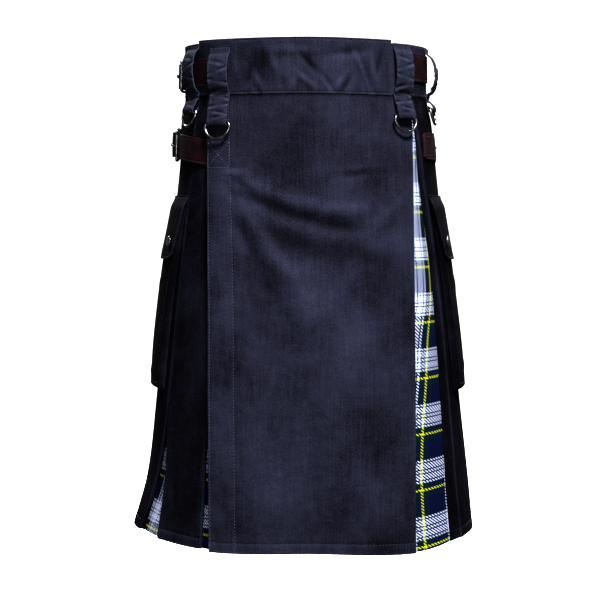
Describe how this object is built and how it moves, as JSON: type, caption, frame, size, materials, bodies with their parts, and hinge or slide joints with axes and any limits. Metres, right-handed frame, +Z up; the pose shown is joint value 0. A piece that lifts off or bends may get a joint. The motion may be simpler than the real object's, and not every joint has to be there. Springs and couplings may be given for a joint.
{
  "type": "utility kilt",
  "caption": "Pleated utility kilt with a plain front apron, tartan pleat insets, cargo pockets, belt loops, D-rings and buckled side straps, open at waist and hem.",
  "frame": {"origin": "on the vertical axis of the waist, level with the middle of the waistband, where the wearer's waist holds the kilt", "axes": "+Z up towards the waistband's top edge, -Y out of the front apron, +X to the right as seen from the front"},
  "size_m": [0.4259, 0.2985, 0.6113],
  "materials": {
    "twill": "matte cotton twill",
    "tartan": "woven tartan, worsted twill",
    "leather": "smooth, dark brown",
    "metal": "dark nickel plate"
  },
  "bodies": {
    "ring_front_left": {"ring_front_left": "metal"},
    "ring_front_right": {"ring_front_right": "metal"},
    "ring_side_left": {"ring_side_left": "metal"},
    "ring_side_right": {"ring_side_right": "metal"},
    "kilt": {"apron": "twill", "panel_pocket_right": "twill", "panel_back_right": "twill", "panel_back_middle": "twill", "panel_back_left": "twill", "panel_pocket_left": "twill", "panel_side_left": "twill", "under_apron": "twill", "tartan_front_right": "tartan", "tartan_rear_right": "tartan", "tartan_back_right": "tartan", "tartan_back_left": "tartan", "tartan_rear_left": "tartan", "tartan_side_left": "tartan", "tartan_front_left": "tartan", "waistband_front": "twill", "waistband_back": "twill", "waistband_under": "twill", "loop_front_left": "twill", "loop_front_right": "twill", "loop_side_left": "twill", "loop_side_right": "twill", "loop_back_left": "twill", "loop_back_right": "twill", "strap_waist_left": "leather", "chape_waist_left": "leather", "buckle_waist_left": "metal", "keeper_waist_left": "leather", "prong_waist_left": "metal", "strap_waist_right": "leather", "chape_waist_right": "leather", "buckle_waist_right": "metal", "keeper_waist_right": "leather", "prong_waist_right": "metal", "strap_hip_left": "leather", "chape_hip_left": "leather", "buckle_hip_left": "metal", "keeper_hip_left": "leather", "prong_hip_left": "metal", "strap_hip_right": "leather", "chape_hip_right": "leather", "buckle_hip_right": "metal", "keeper_hip_right": "leather", "prong_hip_right": "metal", "pocket_right": "twill", "flap_right": "twill", "snap_right_front": "metal", "snap_right_rear": "metal", "pocket_left": "twill", "flap_left": "twill", "snap_left_front": "metal", "snap_left_rear": "metal"}
  },
  "joints": [
    {"name": "ring_front_left_swing", "type": "hinge", "parent": "kilt", "child": "ring_front_left", "pos_m": [-0.11073, -0.09087, -0.067], "axis": [-0.8415, 0.5402, 0], "range_deg": [0, 100]},
    {"name": "ring_front_right_swing", "type": "hinge", "parent": "kilt", "child": "ring_front_right", "pos_m": [0.11353, -0.08724, -0.05794], "axis": [-0.8207, -0.5713, 0], "range_deg": [0, 100]},
    {"name": "ring_side_left_swing", "type": "hinge", "parent": "kilt", "child": "ring_side_left", "pos_m": [-0.14284, -0.04894, -0.05004], "axis": [-0.4537, 0.8911, 0], "range_deg": [0, 100]},
    {"name": "ring_side_right_swing", "type": "hinge", "parent": "kilt", "child": "ring_side_right", "pos_m": [0.15473, -0.02048, -0.04464], "axis": [-0.2598, -0.9657, 0], "range_deg": [0, 100]}
  ]
}
